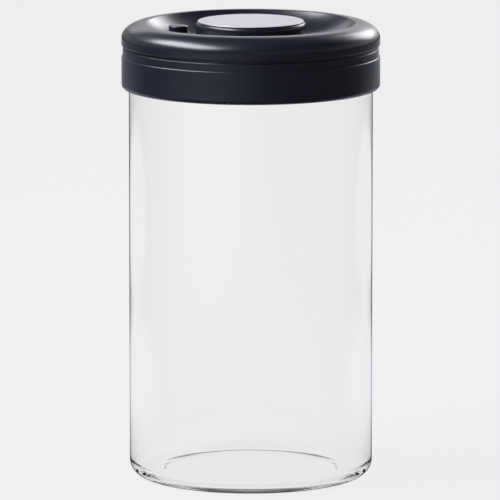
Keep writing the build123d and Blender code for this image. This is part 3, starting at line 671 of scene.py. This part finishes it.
class CANISTER_OT_cover(bpy.types.Operator):
    """Turns the domed cover with its dish, and adds the boss of the release button"""

    bl_idname = "canister.cover"
    bl_label = "Cover"

    def boss(self, lid, dish_z):
        """The boss round the release button, rooted in the dish's wall."""
        root, top, edge_round = dish_z - 1 * mm, dish_z + lid.boss_height, 0.4 * mm
        outline = soften([(0, root, 0), (lid.boss, root, 0), (lid.boss, top, edge_round), (0, top, 0)])
        return turned("boss_blank", outline, closed=False, axis_x=knob_x, segments=64)

    def bore(self, lid, boss_top, under_z):
        """What is cut away for the release button: its bore, with a softened mouth."""
        bore, overrun = lid.knob + lid.knob_gap, 2 * mm
        mouth = [(0.0, -0.25), (0.1, -0.1), (0.3, 0.02)]
        outline = [
            Vector((0, under_z - overrun)),
            Vector((bore, under_z - overrun)),
            *[Vector((bore + out * mm, boss_top + up * mm)) for out, up in mouth],
            Vector((bore + mouth[-1][0] * mm, boss_top + overrun)),
            Vector((0, boss_top + overrun)),
        ]
        return turned("bore_cutter", outline, closed=False, axis_x=knob_x, segments=64)

    def hook(self, lid, rim_z):
        """One snap hook, from its toothed foot up into the cover's wall."""
        foot, root = rim_z - lid.hook_drop, rim_z - 2.4 * mm
        front, back = lid.hook_radius, lid.hook_radius - lid.hook_wall
        tooth = front + lid.hook_tooth
        ramp_low, tooth_low, tooth_top = foot + 0.95 * mm, foot + 1.5 * mm, foot + 2.5 * mm
        corners = [
            (back, foot, 0.3 * mm),
            (front, foot, 0.3 * mm),
            (front, ramp_low, 0),
            (tooth, tooth_low, 0.2 * mm),
            (tooth, tooth_top, 0.15 * mm),
            (front, tooth_top, 0),
            (front, root, 0),
            (back, root, 0),
        ]
        return slab("hook_blank", soften(corners, steps=3), lid.hook_width)

    def execute(self, context):
        lid = context.scene.canister_lid
        outer, rim_z, seat = cover_high[0], cover_high[2], collar_high[2]
        rim_r = outer - lid.shoulder
        shoulder_z = seat + lid.side
        rise = rim_z - shoulder_z
        dish_z = rim_z - lid.dish
        under_z = dish_z - lid.wall
        hole = cap_r() + lid.button_gap
        foot_round, hole_round, blend = 0.4 * mm, 0.25 * mm, 0.1 * mm
        bowl = bowl_points(lid, 0, rim_z)
        shoulder = ellipse_points((rim_r, shoulder_z), lid.shoulder, rise, 0, 90, 28)
        under_bowl = bowl_points(lid, lid.wall, rim_z - lid.wall)
        inner_dome = ellipse_points((rim_r, shoulder_z), lid.shoulder - lid.wall, rise - lid.wall, 86, 0, 16)
        crest = soften(
            [
                (*shoulder[-1], 0),
                (*bowl[-1], lid.crest_round),
                (*bowl[-2], 0),
            ]
        )[1:-1]
        keep_bowl = [p for p in reversed(bowl) if p[1] < crest[-1][1] - blend]
        hole_edge = soften([(*bowl[1], 0), (hole, dish_z, hole_round), (hole, under_z, 0)])[1:-1]
        outline = (
            soften([(outer - lid.wall, seat, 0), (outer, seat, foot_round), (outer, shoulder_z, 0)])[:-1]
            + shoulder
            + crest
            + keep_bowl
            + hole_edge
            + [Vector((hole, under_z))]
            + under_bowl
            + inner_dome[1:]
        )
        piece = turned("dome_cover", outline, closed=True, segments=192)
        combine(piece, self.boss(lid, dish_z), "UNION")
        combine(piece, self.bore(lid, dish_z + lid.boss_height, under_z), "DIFFERENCE")
        combine(piece, ring_of(self.hook(lid, rim_z), lid.hook_count, 45), "UNION")
        finish_surface(piece)
        paint(piece, "plastic")
        place(piece, "lid", "lid_plastic", "top_cover")
        return {"FINISHED"}


def cap_r():
    """Radius of the pump button, from the disc that lies just inside its edge."""
    return plate_high[0] + 0.15 * mm


class CANISTER_OT_button(bpy.types.Operator):
    """Turns the pump button, its disc and the release button"""

    bl_idname = "canister.button"
    bl_label = "Buttons"

    def execute(self, context):
        lid = context.scene.canister_lid
        radius, top, stop = cap_r(), cap_high[2], cap_high[0]
        under, inside, flange, edge = top - 2 * mm, radius - 1.6 * mm, 1.5 * mm, 0.2 * mm
        stop_top = cover_high[2] - lid.dish - lid.wall - 0.3 * mm
        disc_r, disc_under = radius - lid.disc_inset, plate_high[2] - lid.disc_thick
        lip, lip_r, hold_r, lip_round = top + lid.cap_lip, disc_r + 0.05 * mm, disc_r - 0.1 * mm, 0.05 * mm
        brow = ellipse_points((lip_r, lip - lid.cap_brow), radius - lip_r, lid.cap_brow, 0, 90, 10)
        below = soften(
            [
                (0, under, 0),
                (inside, under, 0),
                (inside, stop_top - flange, 0),
                (stop, stop_top - flange, edge),
                (stop, stop_top, edge),
                (radius, stop_top, 0),
            ]
        )
        seat = soften([(*brow[-1], 0), (hold_r, lip, lip_round), (hold_r, disc_under, 0)])[1:]
        outline = below + brow + seat + [Vector((0, disc_under))]
        cap = turned("pump_button", outline, closed=False, segments=192)
        finish_surface(cap)
        paint(cap, "plastic")
        place(cap, "pump", "lid_plastic", "button_cap")
        disc_round = 0.15 * mm
        disc = turned(
            "silver_disc",
            soften(
                [
                    (0, disc_under, 0),
                    (disc_r, disc_under, 0),
                    (disc_r, plate_high[2], disc_round),
                    (0, plate_high[2], 0),
                ]
            ),
            closed=False,
            segments=192,
        )
        finish_surface(disc)
        paint(disc, "disc")
        place(disc, "pump", "plate_metal", "button_plate")
        top, stem, inside, dome = knob_high[2], 1.5 * mm, lid.knob - 0.8 * mm, lid.knob - 1.5 * mm
        under, skirt_low = top - 1.6 * mm, top - 7 * mm
        knob = turned(
            "release_knob",
            soften(
                [
                    (0, knob_low[2], 0),
                    (stem, knob_low[2], 0.3 * mm),
                    (stem, under, 0),
                    (inside, under, 0),
                    (inside, skirt_low, 0),
                    (lid.knob, skirt_low, 0.2 * mm),
                    (lid.knob, top - 0.1 * mm, 0.65 * mm),
                    (dome, top, 2 * mm),
                    (0, top, 0),
                ],
                steps=8,
            ),
            closed=False,
            axis_x=knob_x,
            segments=72,
        )
        finish_surface(knob)
        paint(knob, "plastic")
        place(knob, "release", "lid_plastic", "release_button")
        return {"FINISHED"}


class CANISTER_OT_seals(bpy.types.Operator):
    """Turns the gasket with its fins, the piston's lip ring, the release seal and the two umbrella valves"""

    bl_idname = "canister.seals"
    bl_label = "Seals and valves"

    def dress(self, piece, body, node):
        finish_surface(piece)
        paint(piece, "silicone")
        place(piece, body, "silicone", node)

    def execute(self, context):
        seal = context.scene.canister_seals
        inner, foot = seal.gasket_inner, gasket_low[2]
        wall, flange = inner + seal.gasket_wall, gasket_high[2] - seal.gasket_flange
        corners = [(inner, foot, 0.2 * mm), (wall, foot, 0.3 * mm)]
        for fin in range(seal.fin_count):
            level = foot + seal.fin_first + fin * seal.fin_pitch
            tip = level + seal.fin_rise
            corners += [
                (wall, level - seal.fin_root / 2, 0),
                (wall + seal.fin_reach, tip - seal.fin_tip / 2, 0.12 * mm),
                (wall + seal.fin_reach, tip + seal.fin_tip / 2, 0.12 * mm),
                (wall, level + seal.fin_root / 2, 0),
            ]
        corners += [
            (wall, flange, 0.3 * mm),
            (gasket_high[0], flange, 0.4 * mm),
            (gasket_high[0], gasket_high[2], 0.4 * mm),
            (inner, gasket_high[2], 0.2 * mm),
        ]
        self.dress(turned("finned_gasket", soften(corners, steps=4), closed=True), "lid", "jar_gasket")

        low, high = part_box("piston_seal")
        lip = [(-1.9, 1.6), (-0.45, 1.6), (0, 0.4), (-0.4, 0), (-0.9, 0.9), (-1.3, 0), (-1.9, 0)]
        corners = [(high[0] + r * mm, low[2] + z * mm, 0.1 * mm) for r, z in lip]
        ring = turned("lip_ring", soften(corners, steps=3), closed=True, segments=96)
        self.dress(ring, "pump", "piston_seal")

        low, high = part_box("release_seal")
        edge, hole = (high[0] - low[0]) / 2, 1.55 * mm
        corners = [
            (hole, high[2], 0),
            (edge, high[2], 0.15 * mm),
            (edge, high[2] - 0.4 * mm, 0.1 * mm),
            (edge - 1.0 * mm, low[2], 0.1 * mm),
            (hole, low[2], 0),
        ]
        ring = turned("release_washer", soften(corners, steps=3), closed=True, axis_x=knob_x, segments=48)
        self.dress(ring, "release", "release_seal")

        for name, node, body in (
            ("inlet_umbrella", "inlet_valve", "lid"),
            ("outlet_umbrella", "outlet_valve", "pump"),
        ):
            low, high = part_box(node)
            face, head, grip = high[2] - seal.valve_crown, high[0], low[2] + 1.0 * mm
            rim_in, step_in, hollow = head - 1.2 * mm, head - 2.0 * mm, face + 0.15 * mm
            bulge = seal.valve_crown - seal.valve_edge
            crown = [
                Vector((head * share, face + seal.valve_crown - bulge * share**2))
                for share in (step / 8 for step in range(9))
            ]
            under = soften(
                [
                    (head, face + seal.valve_edge, 0),
                    (head, face, 0.2 * mm),
                    (rim_in, face, 0),
                    (step_in, hollow, 0.2 * mm),
                    (seal.valve_stem, hollow, 0),
                    (seal.valve_stem, grip, 0),
                    (seal.valve_bulb, grip, 0.15 * mm),
                    (seal.valve_stem, low[2], 0.3 * mm),
                    (0, low[2], 0),
                ],
                steps=3,
            )
            self.dress(turned(name, crown + under[1:], closed=False, segments=64), body, node)
        return {"FINISHED"}


class CANISTER_OT_springs(bpy.types.Operator):
    """Winds the springs of the pump button and of the release button"""

    bl_idname = "canister.springs"
    bl_label = "Springs"

    def execute(self, context):
        sizes = context.scene.canister_springs
        for kind, wire, turns, centre_x in (
            ("pump", sizes.pump_wire, sizes.pump_turns, 0.0),
            ("release", sizes.release_wire, sizes.release_turns, knob_x),
        ):
            node, joint = kind + "_spring", kind + "_press"
            piece = coil(kind + "_coil", node, wire, turns, centre_x)
            finish_surface(piece, angle=60)
            paint(piece, "steel")
            place(piece, "lid", "spring_steel", node)
            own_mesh(piece)
        return {"FINISHED"}


class CANISTER_OT_studio(bpy.types.Operator):
    """Makes the floor, the lights and the camera"""

    bl_idname = "canister.studio"
    bl_label = "Studio"

    def area(self, name, location, aim, wide, high, power):
        deselect_all()
        bpy.ops.object.light_add(type="AREA", location=location)
        light = bpy.context.object
        light.name = name
        light.data.shape = "RECTANGLE"
        light.data.size = wide
        light.data.size_y = high
        light.data.energy = power
        light.data.color = (0.93, 0.95, 1)
        light.rotation_euler = (Vector(aim) - Vector(location)).to_track_quat("-Z", "Y").to_euler()
        light.visible_camera = False
        light.visible_transmission = False
        return light

    def plane(self, name, level, material):
        deselect_all()
        bpy.ops.mesh.primitive_plane_add(size=40, location=(0, 0, level))
        floor = bpy.context.object
        floor.name = name
        paint(floor, material)
        return floor

    def sky(self, context):
        """Soft light from all round, brightest low down behind the canister."""
        world = bpy.data.worlds.new("studio_light")
        context.scene.world = world
        world.use_nodes = True
        nodes, links = world.node_tree.nodes, world.node_tree.links
        direction = nodes.new("ShaderNodeSeparateXYZ")
        links.new(nodes.new("ShaderNodeTexCoord").outputs["Generated"], direction.inputs["Vector"])
        levels = []
        for axis, start, end, low, high in (
            ("Z", 0.62, 0.1, 0, 1),
            ("Y", -0.5, 0.9, 0.3, 1),
            ("X", -0.25, 0.15, 0.4, 1),
        ):
            level = nodes.new("ShaderNodeMapRange")
            level.interpolation_type = "SMOOTHSTEP"
            for socket, value in (("From Min", start), ("From Max", end), ("To Min", low), ("To Max", high)):
                level.inputs[socket].default_value = value
            links.new(direction.outputs[axis], level.inputs["Value"])
            levels.append(level.outputs["Result"])

        def math(operation, first, second, third=None):
            made = nodes.new("ShaderNodeMath")
            made.operation = operation
            for socket, value in zip(made.inputs, (first, second, third)):
                if isinstance(value, float):
                    socket.default_value = value
                elif value is not None:
                    links.new(value, socket)
            return made.outputs[0]

        glow = math("MULTIPLY", math("MULTIPLY", levels[0], levels[1]), levels[2])
        soft = math("MULTIPLY_ADD", glow, 0.85, 0.05)
        path = nodes.new("ShaderNodeLightPath")
        seen = math("MAXIMUM", path.outputs["Is Camera Ray"], path.outputs["Is Transmission Ray"])
        strength = math("MAXIMUM", soft, math("MULTIPLY", seen, 0.86))
        links.new(strength, nodes["Background"].inputs["Strength"])
        nodes["Background"].inputs["Color"].default_value = (0.97, 0.98, 1, 1)

    def execute(self, context):
        studio = context.scene.canister_studio
        floor = self.plane("studio_floor", -0.02 * mm, "floor")
        floor.visible_glossy = False
        mirrored = self.plane("mirrored_floor", -0.1 * mm, "mirrored_floor")
        mirrored.visible_camera = False
        mirrored.visible_diffuse = False
        mirrored.visible_transmission = False
        mirrored.visible_shadow = False

        self.sky(context)
        centre = Vector((0, 0, 0.18))
        for name, direction, distance, wide, high, power in (
            ("left_softbox", (-0.645, -0.10, 0.755), 1.2, 1.30, 0.52, 36),
            ("right_rear_softbox", (0.472, 0.790, 0.391), 1.6, 0.70, 0.60, 9.6),
            ("rear_strip", (-0.02, 0.95, 0.33), 1.6, 1.2, 0.12, 1.6),
        ):
            self.area(name, centre + Vector(direction).normalized() * distance, centre, wide, high, power)

        deselect_all()
        bpy.ops.object.camera_add()
        camera = bpy.context.object
        camera.name = "photo_camera"
        aim = Vector((studio.aim_x, 0, studio.aim_z))
        back = Vector((0, -cos(studio.elevation), sin(studio.elevation)))
        camera.location = aim + back * studio.distance
        camera.rotation_euler = (-back).to_track_quat("-Z", "Y").to_euler()
        camera.data.lens = studio.lens
        camera.data.sensor_width = 36
        camera.data.clip_end = 100
        context.scene.camera = camera
        context.scene.view_settings.view_transform = "Standard"
        context.scene.cycles.max_bounces = 28
        context.scene.cycles.glossy_bounces = 24
        context.scene.cycles.transmission_bounces = 16
        return {"FINISHED"}


class CANISTER_PT_panel(bpy.types.Panel):
    """Lists the steps that make the canister"""

    bl_label = "Vacuum canister"
    bl_space_type = "VIEW_3D"
    bl_region_type = "UI"
    bl_category = "Canister"

    def draw(self, context):
        for step in steps:
            self.layout.operator(step.bl_idname)


groups = {
    "canister_jar": JarSizes,
    "canister_lid": LidSizes,
    "canister_seals": SealSizes,
    "canister_springs": SpringSizes,
    "canister_finish": Finish,
    "canister_studio": Studio,
}
steps = [
    CANISTER_OT_finishes,
    CANISTER_OT_jar,
    CANISTER_OT_collar,
    CANISTER_OT_cover,
    CANISTER_OT_button,
    CANISTER_OT_seals,
    CANISTER_OT_springs,
    CANISTER_OT_studio,
]


def register():
    for kind in [*groups.values(), *steps, CANISTER_PT_panel]:
        bpy.utils.register_class(kind)
    for name, kind in groups.items():
        setattr(bpy.types.Scene, name, PointerProperty(type=kind))


def unregister():
    for name in groups:
        delattr(bpy.types.Scene, name)
    for kind in reversed([*groups.values(), *steps, CANISTER_PT_panel]):
        bpy.utils.unregister_class(kind)


def main():
    register()
    for step in steps:
        family, action = step.bl_idname.split(".")
        getattr(getattr(bpy.ops, family), action)()


if __name__ == "__main__":
    main()
